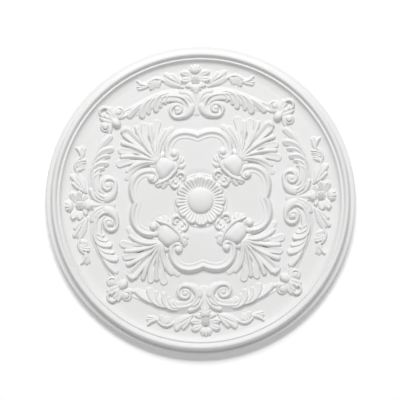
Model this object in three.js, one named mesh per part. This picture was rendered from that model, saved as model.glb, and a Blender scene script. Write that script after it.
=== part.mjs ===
// Ceiling rose: one round moulded plaque with a flat back, a turned rim and raised ornament on its face.
// Millimetres, +Z up. The flat back lies on z = 0 round the origin, and the ornament faces +Z.
// The ornament repeats in eight mirrored wedges, so it is worked out where 0 <= x <= y and mirrored round.
import * as THREE from "three";
import { mergeVertices } from "three/addons/utils/BufferGeometryUtils.js";

// Overall sizes
const OUTER_RADIUS = 350;
const CARVED_RADIUS = 312;
const WEDGE_DEGREES = 45;

// Heights above the back
const FIELD = 16;
const PANEL = 22.8;
const PANEL_FOOT = 21;

// Height over which raised forms run into each other
const BLEND = 0.9;

// Rim profile: radius and height, from the field out to the edge
const RIM_PROFILE = [
  [298, FIELD],
  [306, 17.2],
  [CARVED_RADIUS, 19.5],
  [315.4, 22.4],
  [317.6, 26.4],
  [319.4, 27.4],
  [322.2, 25.6],
  [325.6, 30],
  [328.4, 33.4],
  [332.6, 33.8],
  [334.6, 32],
  [337.4, 22.4],
  [339.6, 19.4],
  [346.6, 18.7],
  [OUTER_RADIUS, FIELD],
];

// Moulding of the quatrefoil frame: distance outward from its crest line, and height
const FRAME_PROFILE = [
  [-18, PANEL],
  [-13.4, PANEL],
  [-11.8, 24.3],
  [-7.4, 23.5],
  [-2.8, 26.5],
  [0, 27.8],
  [3.2, 25.3],
  [7, 18.1],
  [10.4, FIELD],
];

// Plain slope that takes its place under the boss, from one share of the crest line to another
const FRAME_END_PROFILE = [
  [-7, PANEL],
  [7, FIELD],
];
const FRAME_END = { from: 0.8, to: 0.88 };
const FRAME_REACH = 200;

// Rosette at the centre, with a sunk ring of ground round it
const DOME = { radius: 29, foot: 22.5, top: 33.5, shape: 0.45 };
const PETAL = { count: 12, ribs: 3, root: 30, crown: 49, reach: 50.5, lobe: 7.5, cap: 6 };
const PETAL_HEIGHT = { foot: 18, low: 23, high: 30, slit: 3, seam: 2.5 };
const RING = { radius: 59, half: 3.4, top: 23.2 };
const MOAT = { radius: 63, width: 6, depth: 1.6, reach: 90 };

// Plain shield on the diagonal: distance of its centre from both axes, half sizes and height
const SHIELD = { centre: 78, halfLong: 20.5, halfWide: 25, top: 35, taper: 0.28 };

// Centres of the seed boss in the flower, and of the bell flower and the small rose beside the diagonal
const SEED_BOSS = [0, 273];
const BELL = [208, 208];
const SMALL_ROSE = [175.5, 207];

// Fineness of the faceted solid
const RIM_STEPS = 12;
const SAMPLE_STEP = 1.5;
const WEDGE_TRIANGLES = 916;
const SETTLING_ROUNDS = 12;
const THINNEST = 1.1;
const TINY = 1e-6;

const { clamp, degToRad, lerp, smoothstep } = THREE.MathUtils;

// Height of two forms run together with a small fillet
function smoothMax(a, b) {
  const gap = Math.max(BLEND - Math.abs(a - b), 0) / BLEND;
  return Math.max(a, b) + (gap * gap * BLEND) / 4;
}

// Value at place 0 to 1 along a list of evenly spaced values
function along(values, place) {
  const spot = clamp(place, 0, 1) * (values.length - 1);
  const index = Math.min(Math.floor(spot), values.length - 2);
  return lerp(values[index], values[index + 1], spot - index);
}

// Function through rising [key, value] rows, with no corners and no overshoot
function smoothTable(rows) {
  const slopes = rows.slice(1).map(([key, value], step) => (value - rows[step][1]) / (key - rows[step][0]));
  const tangents = rows.map((_, step) => {
    const before = slopes[step - 1] ?? slopes[step];
    const after = slopes[step] ?? before;
    return before * after > 0 ? (2 * before * after) / (before + after) : 0;
  });
  return (key) => {
    const place = clamp(key, rows[0][0], rows.at(-1)[0]);
    const next = rows.findIndex((row) => row[0] > place);
    if (next < 0) return rows.at(-1)[1];
    const [fromKey, from] = rows[next - 1];
    const [toKey, to] = rows[next];
    const width = toKey - fromKey;
    const t = (place - fromKey) / width;
    const bend = (1 - t) * tangents[next - 1] - t * tangents[next];
    return lerp(from, to, t * t * (3 - 2 * t)) + width * t * (1 - t) * bend;
  };
}

// Curve from root to tip whose middle stands bow to the left of the straight line
function blade(root, tip, bow) {
  const from = new THREE.Vector2(...root);
  const to = new THREE.Vector2(...tip);
  const run = to.clone().sub(from);
  const left = new THREE.Vector2(-run.y, run.x).normalize();
  const control = from.clone().lerp(to, 0.5).addScaledVector(left, 2 * bow);
  return new THREE.QuadraticBezierCurve(from, control, to).getPoints(14);
}

function spline(...spots) {
  const points = spots.map((spot) => new THREE.Vector2(...spot));
  return new THREE.SplineCurve(points).getPoints(8 * (spots.length - 1));
}

// Arc between two angles in degrees, or a spiral where the radius changes on the way
function spiral(centre, fromRadius, toRadius, fromAngle, toAngle) {
  const steps = Math.ceil(Math.abs(toAngle - fromAngle) / 7);
  return Array.from({ length: steps + 1 }, (_, step) => {
    const place = step / steps;
    const radius = fromRadius * (toRadius / fromRadius) ** place;
    const angle = degToRad(lerp(fromAngle, toAngle, place));
    return new THREE.Vector2(centre[0] + radius * Math.cos(angle), centre[1] + radius * Math.sin(angle));
  });
}

// Finds a spot's signed distance from a line, left of it positive, and its place along it from 0 to 1
function nearestOn(line) {
  const runs = [0];
  for (let step = 1; step < line.length; step += 1) {
    runs.push(runs[step - 1] + line[step].distanceTo(line[step - 1]));
  }
  return (x, y) => {
    let nearest = Infinity;
    let place = 0;
    let side = 1;
    for (let step = 1; step < line.length; step += 1) {
      const length = runs[step] - runs[step - 1];
      if (length === 0) continue;
      const start = line[step - 1];
      const stepX = line[step].x - start.x;
      const stepY = line[step].y - start.y;
      const share = clamp(((x - start.x) * stepX + (y - start.y) * stepY) / length ** 2, 0, 1);
      const offX = x - start.x - share * stepX;
      const offY = y - start.y - share * stepY;
      const distance = Math.hypot(offX, offY);
      if (distance >= nearest) continue;
      nearest = distance;
      place = (runs[step - 1] + share * length) / runs.at(-1);
      side = Math.sign(stepX * offY - stepY * offX) || 1;
    }
    return { offset: side * nearest, place };
  };
}

// Sections of a stroke: share of its height at s, from -1 at its right edge to +1 at its left edge
const roundSection = (s) => Math.sqrt(1 - s * s);
const leafSection = (s) => (1 - Math.abs(s) ** 2.4) ** 0.6;
const spoonSection = (s) => Math.sqrt(1 - s ** 6) * (0.66 + 0.34 * s * s);
const channelSection = (s) => Math.sqrt(1 - s ** 6) * (0.36 + 0.64 * Math.abs(s) ** 0.9);
const flatSection = (s) => Math.sqrt(1 - s ** 6);

// Crest near one edge, with a hollow slope down to the other, whose edge has the low share of the height
function ridgeSection(side, crest = 0.4, low = 0.42) {
  const foot = 0.18;
  return (s) => {
    const spot = s * side;
    if (spot > crest) return Math.sqrt(1 - ((spot - crest) / (1 - crest)) ** 2);
    const slope = low + (1 - low) * ((spot + 1) / (1 + crest)) ** 1.3;
    return slope * Math.sqrt(Math.min((spot + 1) / foot, 1));
  };
}

// Finds where a spot lies on a band along a line: s across it, and the place along it
function across(line, halves) {
  const box = new THREE.Box2().setFromPoints(line).expandByScalar(Math.max(...halves));
  const locate = nearestOn(line);
  return (x, y) => {
    if (!box.containsPoint({ x, y })) return { s: 1, place: 0 };
    const { offset, place } = locate(x, y);
    return { s: offset / along(halves, place), place };
  };
}

// The forms below take a spot and the height there so far, and give its height with the form in place.

// Raised band along a line: half widths and tops run evenly from its start to its end
function stroke(line, halves, tops, section = roundSection, foot = FIELD) {
  const locate = across(line, halves);
  return (x, y, height) => {
    const { s, place } = locate(x, y);
    if (Math.abs(s) >= 1) return height;
    return smoothMax(height, foot + (along(tops, place) - foot) * section(s));
  };
}

// Cut along a line, never deeper than the field
function groove(line, halves, depths) {
  const locate = across(line, halves);
  return (x, y, height) => {
    const { s, place } = locate(x, y);
    const cut = along(depths, place) * Math.max(1 - s * s, 0) ** 1.5;
    return Math.max(height - cut, Math.min(height, FIELD));
  };
}

// Raised oval, its long way turned by some degrees and narrower by the taper towards that end
function dome(centre, halfLong, halfWide, top, options = {}) {
  const { turn = 0, foot = FIELD, power = 2, shape = 0.5, taper = 0 } = options;
  const cosine = Math.cos(degToRad(turn));
  const sine = Math.sin(degToRad(turn));
  return (x, y, height) => {
    const offX = x - centre[0];
    const offY = y - centre[1];
    const endways = (cosine * offX + sine * offY) / halfLong;
    const narrowed = halfWide * (1 - taper * clamp(endways, -1, 1));
    const sideways = (cosine * offY - sine * offX) / narrowed;
    const spread = Math.abs(endways) ** power + Math.abs(sideways) ** power;
    return spread < 1 ? smoothMax(height, foot + (top - foot) * (1 - spread) ** shape) : height;
  };
}

// Crest of the frame: two bows from the axis, then a plain run under the boss to the diagonal
function frameLine() {
  const bows = [...blade([0, 147], [33.5, 155], 2), ...spiral([32.5, 115.5], 39.2, 39.2, 88, -18)];
  return [...bows, ...blade(bows.at(-1).toArray(), [80, 80], 2)];
}

const rimHeight = smoothTable(RIM_PROFILE);
const frameHeight = smoothTable(FRAME_PROFILE);
const frameEndHeight = smoothTable(FRAME_END_PROFILE);
const nearestOnFrame = nearestOn(frameLine());

// Ground under the ornament: field, foot of the rim, and the quatrefoil with its moulding and panel
function groundHeight(x, y) {
  const radius = Math.hypot(x, y);
  if (radius >= FRAME_REACH) return rimHeight(radius);
  const { offset, place } = nearestOnFrame(x, y);
  const end = smoothstep(place, FRAME_END.from, FRAME_END.to);
  const quatrefoil = lerp(frameHeight(offset), frameEndHeight(offset), end);
  if (radius >= MOAT.reach) return quatrefoil;
  return quatrefoil - MOAT.depth * Math.exp(-(((radius - MOAT.radius) / MOAT.width) ** 2));
}

// Radius of the scalloped edge of the petals: sideways runs from -1 to 1 across each petal
function petalTip(sideways) {
  return PETAL.reach + PETAL.lobe * Math.sqrt(1 - 0.92 * sideways ** 2);
}

function acrossPetal(x, y) {
  const turn = (Math.atan2(x, y) * PETAL.count) / (2 * Math.PI);
  return 2 * (turn - Math.round(turn));
}

// Ribbed petals round a plain dome, inside a thin ring
function rosette() {
  const ring = (x, y, height) => {
    const s = (Math.hypot(x, y) - RING.radius) / RING.half;
    return Math.abs(s) < 1 ? smoothMax(height, FIELD + (RING.top - FIELD) * roundSection(s)) : height;
  };
  const petals = (x, y, height) => {
    const { foot, low, high, slit, seam } = PETAL_HEIGHT;
    const radius = Math.hypot(x, y);
    const sideways = acrossPetal(x, y);
    const tip = petalTip(sideways);
    if (radius >= tip) return height;
    const top = lerp(low, high, clamp((radius - PETAL.root) / (PETAL.crown - PETAL.root), 0, 1));
    const cap = 1 - clamp((tip - radius) / PETAL.cap, 0, 1);
    const outside = smoothstep(radius, PETAL.crown - 2, PETAL.crown + 6);
    const ribbed = smoothstep(radius, PETAL.root - 1, PETAL.root + 1.5) * (1 - outside);
    const between = 0.5 - 0.5 * Math.cos(PETAL.ribs * Math.PI * sideways);
    const parting = Math.abs(sideways) ** 6 * smoothstep(radius, PETAL.crown - 3, PETAL.crown + 3);
    const crest = top - slit * ribbed * between ** 1.4 - seam * parting;
    return smoothMax(height, foot + (crest - foot) * Math.sqrt(1 - cap ** 2));
  };
  const middle = dome([0, 0], DOME.radius, DOME.radius, DOME.top, { foot: DOME.foot, shape: DOME.shape });
  return [ring, petals, middle];
}

// End of the frame's moulding, curled round a ball
function frameCurl() {
  const line = spiral([57, 107.5], 15.6, 9, 0, -200);
  const tops = [27.8, 28.4, 29, 29.4, 29, 28.4];
  return [
    stroke(line, [5.8, 5.6, 5, 4.4, 4, 3.6], tops, leafSection, PANEL_FOOT),
    dome([54.5, 108.5], 9.6, 9.6, 33, { foot: 20 }),
  ];
}

// Plain shield on the diagonal, with the leafy lip and the small loops on its inner side
function boss() {
  const loop = spiral([41.5, 55.5], 9.6, 8.6, 20, 250);
  const lobes = [
    { root: [46, 88], tip: [37.5, 95], bow: 2, halves: [6, 7, 5.4], tops: [30, 29.5, 27] },
    { root: [49, 80], tip: [34, 82.5], bow: 2.5, halves: [6, 7.4, 5.2], tops: [30, 29, 26.5] },
    { root: [51.5, 71], tip: [42, 69.5], bow: 1.5, halves: [5, 5.4, 4], tops: [29, 28, 26] },
  ];
  const { centre, halfLong, halfWide, top, taper } = SHIELD;
  const shape = { turn: 45, foot: PANEL_FOOT, power: 3, shape: 0.6, taper };
  const lip = spline([41, 99], [46.8, 83.5], [54.5, 69], [69, 54.5]);
  return [
    stroke(loop, [3.2, 4, 4.2, 4, 3.2], [27, 29, 29.5, 28.5, 26.5], leafSection, 19),
    dome([43.5, 54.5], 4.6, 4.2, 27, { turn: 45, foot: 19 }),
    ...lobes.map(({ root, tip, bow, halves, tops }) =>
      stroke(blade(root, tip, bow), halves, tops, leafSection, PANEL_FOOT),
    ),
    dome([centre, centre], halfLong, halfWide, top, shape),
    stroke(lip, [3.4, 4.8, 4.4, 4.4], [29, 32, 31.8, 31.8], leafSection, PANEL_FOOT),
  ];
}

// Palmette on the diagonal: hollow lobes, ribs between them and a wide middle lobe
function fan() {
  const hollows = [
    { root: [93, 103], tip: [90.5, 178.5], bow: -5.5, halves: [3, 6, 8, 9], tops: [28, 25, 22.5, 20.5] },
    { root: [97, 102], tip: [120, 174], bow: -5, halves: [3, 5.5, 7.5, 8], tops: [28, 25, 23, 21] },
  ];
  const ribs = [
    { root: [88, 102], tip: [58, 164], bow: -11, halves: [3, 6, 8, 7], tops: [28, 24, 21, 19] },
    { root: [91, 103], tip: [73, 162], bow: -7.5, halves: [4, 5.5, 6.5, 5], tops: [29, 27.5, 25, 21] },
    { root: [95, 102], tip: [106.5, 172.5], bow: -4, halves: [4, 4.6, 5.4, 6], tops: [29, 27.5, 26, 22.5] },
    { root: [97, 100], tip: [137, 169.5], bow: -4.5, halves: [4, 4.8, 6, 6], tops: [29, 27.5, 26.5, 23] },
  ];
  return [
    ...hollows.map(({ root, tip, bow, halves, tops }) =>
      stroke(blade(root, tip, bow), halves, tops, spoonSection),
    ),
    stroke(blade([94, 94], [158.5, 158.5], 0), [5, 7, 9.5, 13], [29, 28, 26.5, 25.5], channelSection),
    ...ribs.map(({ root, tip, bow, halves, tops }) =>
      stroke(blade(root, tip, bow), halves, tops, leafSection),
    ),
    groove(blade([105, 128], [112.5, 151], -0.5), [1, 2.4, 2.8, 1], [2, 5.4, 6.4, 1]),
    dome([96, 96], 9.5, 15.5, 29.5, { turn: 45 }),
    dome([84, 104.5], 10, 7.5, 24.5, { turn: -40 }),
    dome([166, 166], 5, 11, 26, { turn: 45 }),
  ];
}

// Ribbon that runs from the diagonal to the axis and rolls up in a volute
function scroll() {
  const ribbon = spline([104, 234.5], [76, 242.5], [45, 243.5], [24, 236.5], [13.5, 222], [12.5, 207]);
  const ribbonTops = [22, 23.6, 24.6, 25.2, 25.8, 25.8];
  const curl = [
    ...spiral([44, 220], 32.5, 29.6, 194, 264),
    ...spiral([45, 204.5], 14.3, 13, 262, 436),
    ...spiral([43, 208.5], 10, 7.8, 66, 293),
  ];
  const curlHalves = [10.5, 11, 8.6, 5.8, 4.8, 4.4, 4.6, 5, 5, 4.6, 4, 3.6];
  const curlTops = [25.8, 26, 25.8, 24.8, 24, 24, 24.6, 25, 25.2, 25.4, 25.4, 25];
  const step = spline([80, 226], [65, 230], [47, 230.5], [33, 225], [26, 217]);
  return [
    stroke(spline([0, 204], [0, 216], [0, 240]), [13, 9, 12], [18.2, 18.8, 20], flatSection),
    stroke(spline([0, 199], [0, 216], [0, 242]), [8, 5, 6], [19.4, 21, 22.4], leafSection),
    dome([40, 208], 26, 19, 18.5, { shape: 0.12 }),
    stroke(ribbon, [4, 8, 9.6, 10, 10.5, 9.5], ribbonTops, ridgeSection(1, 0.5, 0.12)),
    stroke(step, [4, 5.4, 5.6, 5, 2.5], [22, 22.4, 22.4, 22, 20], flatSection),
    stroke(curl, curlHalves, curlTops, leafSection),
    dome([43, 208], 8, 8, 26),
  ];
}

// Acanthus leaf along the ribbon: its web, two thin outer stems, its fingers and the calyx at its foot
function acanthus() {
  const web = spline([70, 234], [100, 221], [125, 209], [150, 199]);
  const stems = [
    { line: spline([56, 250], [100, 238.5], [130, 225], [160, 210.5]), top: 19.2 },
    { line: spline([48, 247], [90, 238], [114, 226.5], [140, 209]), top: 20.6 },
  ];
  const fingers = [
    { root: [50, 240.5], tip: [69, 223.5], bow: 5.2, half: 4.4, drop: 1.2 },
    { root: [54, 243], tip: [81, 217], bow: 7.7, half: 5.2, drop: 1 },
    { root: [62, 244.5], tip: [91.5, 209.5], bow: 11, half: 8, drop: 0 },
    { root: [78, 241], tip: [108.5, 203.5], bow: 9.2, half: 5.6, drop: 1 },
    { root: [90, 237.5], tip: [123.5, 198], bow: 8.4, half: 9.4, drop: 0 },
  ];
  const fingerHalves = [0.2, 0.4, 0.8, 1, 0.85];
  const fingerTops = [23.6, 25.4, 26, 25.4, 23.4];
  const lastHalves = [1.4, 3.2, 6.2, 8, 7.6];
  const lastTops = [22.6, 24, 24.8, 24.6, 23];
  return [
    stroke(web, [8, 10, 9, 6], [21.5, 20.8, 18.8, 17.4], leafSection),
    ...stems.map(({ line, top }) => stroke(line, [1.4, 2.6, 2.6, 2], [top - 2.6, top, top, 18])),
    ...fingers.map(({ root, tip, bow, half, drop }) => {
      const halves = fingerHalves.map((share) => share * half);
      const tops = fingerTops.map((top) => top - drop);
      return stroke(blade(root, tip, bow), halves, tops, ridgeSection(1));
    }),
    stroke(blade([106, 231.5], [151.5, 199], 3.4), lastHalves, lastTops, ridgeSection(1, 0.2, 0.56)),
    stroke(blade([4, 218], [34, 246], 6), [3.5, 7, 6.4], [21.2, 24.2, 24], leafSection),
    groove(blade([9, 223], [30, 243], 5), [1, 1.8, 1.4], [1, 2.6, 1.6]),
    stroke(blade([11, 221], [27, 236.5], 2.5), [2.5, 4.2, 3.6], [23.6, 26, 25], leafSection),
  ];
}

// Bud, bell flower and small rose where two scrolls meet on the diagonal
function cluster() {
  const leaves = [
    { root: [187, 192], tip: [195, 215.5], bow: 2, halves: [5, 6.4, 5], tops: [21.5, 23.6, 22.6] },
    { root: [190, 190], tip: [206, 206], bow: 0, halves: [5, 7.5, 9], tops: [23, 24.2, 17.5] },
    { root: [192, 196], tip: [202, 209.5], bow: 1, halves: [3, 4, 3.6], tops: [22, 24.6, 25] },
  ];
  const bellTops = [25.8, 25.6, 24.8, 23.4];
  const fold = spiral(SMALL_ROSE, 7.6, 6, 70, 290);
  return [
    ...leaves.map(({ root, tip, bow, halves, tops }) =>
      stroke(blade(root, tip, bow), halves, tops, leafSection),
    ),
    stroke(spiral(BELL, 10.6, 10, 45, 185), [3.8, 3.6, 3.2, 2.6], bellTops, leafSection),
    dome([183, 183], 13, 10, 29, { turn: 45 }),
    dome(SMALL_ROSE, 13, 13, 25, { shape: 0.55 }),
    groove(fold, [1.4, 2.6, 2.6, 1.4], [2.5, 5.6, 5.6, 2.5]),
    dome([177.5, 206.5], 4.6, 4.6, 26),
    stroke(blade([157, 200], [186, 195.5], -1.5), [3, 5, 5, 4], [19.5, 21.4, 22, 22], leafSection),
  ];
}

// Flower on the axis: cupped petals with notched ends round a boss
function flower() {
  const petals = [
    { root: [11, 282], tip: [25.5, 288.5], bow: 1, halves: [6, 8.4, 8], tops: [18, 21.4, 24.4] },
    { root: [11, 275], tip: [27.5, 273], bow: 0, halves: [6, 8.4, 7.6], tops: [18, 21.4, 24.2] },
    { root: [8, 265], tip: [18.5, 260], bow: -1, halves: [4, 5.8, 5.4], tops: [18.5, 21.8, 23.8] },
  ];
  const notches = [
    { tip: [4.6, 306], root: [3, 296] },
    { tip: [14, 303], root: [8, 297] },
    { tip: [13.5, 245], root: [6.5, 251] },
  ];
  return [
    dome([0, 297.5], 14.5, 11, 24.4, { power: 2.2, shape: 0.6 }),
    ...petals.map(({ root, tip, bow, halves, tops }) =>
      stroke(blade(root, tip, bow), halves, tops, leafSection),
    ),
    dome([0, 254.5], 13.4, 10.6, 25.6, { power: 2.2, shape: 0.6 }),
    dome([0, 247.5], 7, 8, 25.2),
    ...notches.map(({ tip, root }) => groove(blade(tip, root, 0), [2.2, 1.8, 0.8], [4.4, 3, 0.6])),
    groove(spiral(SEED_BOSS, 10.8, 10.8, -90, 90), [1.8, 1.8], [1.4, 1.4]),
    dome(SEED_BOSS, 9.6, 9.6, 26.4, { shape: 0.3 }),
  ];
}

// Leaf spray beside the flower: a broad folded leaf, an arched stem with a hanging leaf, and a tuft
function spray() {
  const broadLeaf = [
    { root: [29, 257.5], tip: [61, 277], bow: 0, halves: [3, 8.5, 13.5, 14], tops: [20.5, 22, 22, 21.2] },
    { root: [33, 263], tip: [50.5, 285.5], bow: 1.5, halves: [3, 5, 4.5], tops: [21.6, 23.2, 22.4] },
    { root: [36, 262.5], tip: [66, 287], bow: 1, halves: [3, 5.2, 6], tops: [22, 23.8, 22.6] },
  ];
  const hanging = [
    { root: [80, 273], tip: [86, 263.5], bow: 1, halves: [5, 7.6, 6.4], tops: [21.4, 21.6, 20.4] },
    { root: [91, 273], tip: [98, 260.5], bow: 1, halves: [5, 7.6, 7.2], tops: [22, 22.2, 21.2] },
    { root: [97, 274], tip: [102, 257.5], bow: 1.5, halves: [2, 3.2, 3.4], tops: [22.6, 23.2, 22.2] },
  ];
  const tuft = [
    { root: [106, 264], tip: [125, 262.5], bow: 0, halves: [3.4, 7.6, 9.8], tops: [20.5, 22, 21.4] },
    { root: [107, 265], tip: [130.5, 275], bow: -3, halves: [2.4, 3.6, 3], tops: [21.5, 23.4, 22.6] },
  ];
  const tuftGrooves = [
    { root: [112, 263.5], tip: [135, 267], bow: -1.5 },
    { root: [112, 261], tip: [134, 259], bow: 0.5 },
  ];
  const arch = spline([66, 271], [77, 276.5], [88, 279.5], [98, 276.5], [107, 269]);
  const leaf = ({ root, tip, bow, halves, tops }) => stroke(blade(root, tip, bow), halves, tops, leafSection);
  return [
    ...broadLeaf.map(leaf),
    groove(blade([30, 260], [68, 279.5], 1), [1.4, 2.2, 2.2, 1.2], [1.5, 2.4, 2, 0.6]),
    groove(blade([58, 295], [54, 279], 0), [2.4, 1.6, 0.8], [4, 2.4, 0.4]),
    ...hanging.map(leaf),
    stroke(arch, [2.2, 3.2, 3.6, 3.4, 3], [20, 21.8, 23.2, 23.2, 22.2], leafSection),
    ...tuft.map(leaf),
    ...tuftGrooves.map(({ root, tip, bow }) =>
      groove(blade(root, tip, bow), [0.8, 1.6, 1.8], [0.8, 2.4, 2.8]),
    ),
  ];
}

const MOTIFS = [rosette, frameCurl, boss, fan, scroll, acanthus, cluster, flower, spray];
const FORMS = MOTIFS.flatMap((make) => make());

function faceHeight(x, y) {
  return FORMS.reduce((height, form) => form(x, y, height), groundHeight(x, y));
}

// Twice the area of a triangle seen from +Z, positive where its corners run counter-clockwise
function doubleArea(a, b, c) {
  return (b.x - a.x) * (c.y - a.y) - (b.y - a.y) * (c.x - a.x);
}

// Height of a triangle over its longest side
function thinness(a, b, c) {
  const sides = [a.distanceTo(b), b.distanceTo(c), c.distanceTo(a)];
  return doubleArea(a, b, c) / Math.max(...sides);
}

// Whether the edge from a to b, between c and d, is the long way across its four points
function isLongWay(a, b, c, d) {
  const dotC = (a.x - c.x) * (b.x - c.x) + (a.y - c.y) * (b.y - c.y);
  const dotD = (a.x - d.x) * (b.x - d.x) + (a.y - d.y) * (b.y - d.y);
  return doubleArea(a, b, c) * dotD + doubleArea(b, a, d) * dotC < -TINY;
}

// One wedge of the face in triangles that follow a height.
// The first splits are at given spots. After them the worst fitting triangle is split at its worst sample.
// Edges turn to keep the triangles full. At the end points move and edges turn wherever that fits better,
// so that the edges run along the crests and the feet.
class FittedWedge {
  constructor(height, border, firstSpots) {
    this.points = border;
    this.faces = new Set();
    this.faceOnEdge = new Map();
    this.samples = [];
    for (let row = 0; row * SAMPLE_STEP <= CARVED_RADIUS; row += 1) {
      const heightAt = (_, column) => height(column * SAMPLE_STEP, row * SAMPLE_STEP);
      this.samples.push(Array.from({ length: row + 1 }, heightAt));
    }
    for (let step = 1; step + 1 < border.length; step += 1) this.add(this.fit(0, step + 1, step));
    for (const { x, y } of firstSpots) {
      this.splitAt(this.faceOver(x, y), new THREE.Vector3(x, y, height(x, y)));
    }
    while (this.faces.size < WEDGE_TRIANGLES) this.splitWorst();
    for (let round = 0; round < SETTLING_ROUNDS; round += 1) {
      const allEdges = [...this.faces].flatMap((face) => this.edges(face));
      this.turnEdges(allEdges, (...corners) => this.fitsBetterTurned(...corners));
      this.settlePoints();
    }
  }

  edges({ corners: [a, b, c] }) {
    return [
      [a, b],
      [b, c],
      [c, a],
    ];
  }

  add(face) {
    this.faces.add(face);
    for (const edge of this.edges(face)) this.faceOnEdge.set(edge.join(), face);
  }

  remove(face) {
    this.faces.delete(face);
    for (const edge of this.edges(face)) this.faceOnEdge.delete(edge.join());
  }

  // A face with its summed square error and the sample that lies furthest from it
  fit(...corners) {
    const [a, b, c] = corners.map((corner) => this.points[corner]);
    const area = doubleArea(a, b, c);
    const face = { corners, error: 0, worst: null };
    let widest = 0;
    const firstRow = Math.ceil(Math.min(a.y, b.y, c.y) / SAMPLE_STEP - TINY);
    const lastRow = Math.floor(Math.max(a.y, b.y, c.y) / SAMPLE_STEP + TINY);
    const firstColumn = Math.ceil(Math.min(a.x, b.x, c.x) / SAMPLE_STEP - TINY);
    const lastColumn = Math.floor(Math.max(a.x, b.x, c.x) / SAMPLE_STEP + TINY);
    for (let row = firstRow; row <= lastRow; row += 1) {
      for (let column = firstColumn; column <= Math.min(lastColumn, row); column += 1) {
        const spot = { x: column * SAMPLE_STEP, y: row * SAMPLE_STEP };
        const shareA = doubleArea(spot, b, c) / area;
        const shareB = doubleArea(a, spot, c) / area;
        const shareC = 1 - shareA - shareB;
        if (Math.min(shareA, shareB, shareC) < -TINY) continue;
        const height = this.samples[row][column];
        const gap = Math.abs(shareA * a.z + shareB * b.z + shareC * c.z - height);
        face.error += gap * gap;
        if (gap <= widest) continue;
        widest = gap;
        face.worst = new THREE.Vector3(spot.x, spot.y, height);
      }
    }
    return face;
  }

  faceOver(x, y) {
    const holds = ([from, to]) => doubleArea(this.points[from], this.points[to], { x, y }) > -TINY;
    return [...this.faces].find((face) => this.edges(face).every(holds));
  }

  splitWorst() {
    let face = { error: 0 };
    for (const other of this.faces) if (other.error > face.error) face = other;
    this.splitAt(face, face.worst);
  }

  splitAt(face, spot) {
    const point = this.points.push(spot) - 1;
    const outline = [];
    this.remove(face);
    for (const [from, to] of this.edges(face)) {
      if (doubleArea(this.points[from], this.points[to], spot) > TINY) {
        outline.push([from, to]);
        continue;
      }
      const beyond = this.faceOnEdge.get([to, from].join());
      if (!beyond) continue;
      const far = beyond.corners.find((corner) => corner !== from && corner !== to);
      this.remove(beyond);
      outline.push([from, far], [far, to]);
    }
    for (const [from, to] of outline) this.add(this.fit(from, to, point));
    this.turnEdges(outline, (...corners) => isLongWay(...corners.map((corner) => this.points[corner])));
  }

  // Summed error over triangles, without end where one of them is too thin
  errorOver(triangles) {
    const isThin = (corners) => thinness(...corners.map((corner) => this.points[corner])) < THINNEST;
    if (triangles.some(isThin)) return Infinity;
    return triangles.reduce((sum, corners) => sum + this.fit(...corners).error, 0);
  }

  fitsBetterTurned(a, b, c, d) {
    const turned = this.errorOver([
      [c, a, d],
      [d, b, c],
    ]);
    const kept = this.errorOver([
      [a, b, c],
      [b, a, d],
    ]);
    return turned < kept - TINY;
  }

  // Moves each point inside the borders to the sample beside it that suits the triangles round it best
  settlePoints() {
    const trianglesAt = this.points.map(() => []);
    for (const { corners } of this.faces) for (const corner of corners) trianglesAt[corner].push(corners);
    for (const [index, point] of this.points.entries()) {
      const onMirror = point.x < TINY || point.y - point.x < TINY;
      const onRim = Math.hypot(point.x, point.y) > CARVED_RADIUS - TINY;
      if (onMirror || onRim) continue;
      let best = point;
      let least = this.errorOver(trianglesAt[index]);
      for (const moved of this.samplesBeside(point)) {
        this.points[index] = moved;
        const error = this.errorOver(trianglesAt[index]);
        if (error >= least) continue;
        best = moved;
        least = error;
      }
      this.points[index] = best;
    }
  }

  samplesBeside({ x, y }) {
    const beside = [];
    for (const stepX of [-1, 0, 1]) {
      for (const stepY of [-1, 0, 1]) {
        const column = Math.round(x / SAMPLE_STEP) + stepX;
        const row = Math.round(y / SAMPLE_STEP) + stepY;
        if (column < 1 || column >= row || row >= this.samples.length) continue;
        beside.push(new THREE.Vector3(column * SAMPLE_STEP, row * SAMPLE_STEP, this.samples[row][column]));
      }
    }
    return beside;
  }

  // Turns each edge in a queue where a rule on its ends and the corners beside it says so
  turnEdges(queue, rule) {
    while (queue.length) {
      const [a, b] = queue.pop();
      const face = this.faceOnEdge.get([a, b].join());
      const beyond = this.faceOnEdge.get([b, a].join());
      if (!face || !beyond) continue;
      const c = face.corners.find((corner) => corner !== a && corner !== b);
      const d = beyond.corners.find((corner) => corner !== a && corner !== b);
      if (!rule(a, b, c, d)) continue;
      this.remove(face);
      this.remove(beyond);
      this.add(this.fit(c, a, d));
      this.add(this.fit(d, b, c));
      queue.push([a, d], [d, b], [b, c], [c, a]);
    }
  }
}

// Points of one ring across the wedge, from +Y towards the diagonal
function ringPoints(radius, height) {
  return Array.from({ length: RIM_STEPS + 1 }, (_, step) => {
    const angle = degToRad((WEDGE_DEGREES * step) / RIM_STEPS);
    return new THREE.Vector3(radius * Math.sin(angle), radius * Math.cos(angle), height);
  });
}

// Triangles of the turned rim, the edge wall and the back, across one wedge
function rimTriangles() {
  const rings = RIM_PROFILE.filter(([radius]) => radius >= CARVED_RADIUS).map((row) => ringPoints(...row));
  rings.push(ringPoints(OUTER_RADIUS, 0));
  const centre = new THREE.Vector3();
  const triangles = [];
  for (let step = 0; step < RIM_STEPS; step += 1) {
    for (let ring = 1; ring < rings.length; ring += 1) {
      const [near, far] = [rings[ring - 1], rings[ring]];
      triangles.push([near[step], near[step + 1], far[step + 1]], [near[step], far[step + 1], far[step]]);
    }
    triangles.push([rings.at(-1)[step], rings.at(-1)[step + 1], centre]);
  }
  return triangles;
}

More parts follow.
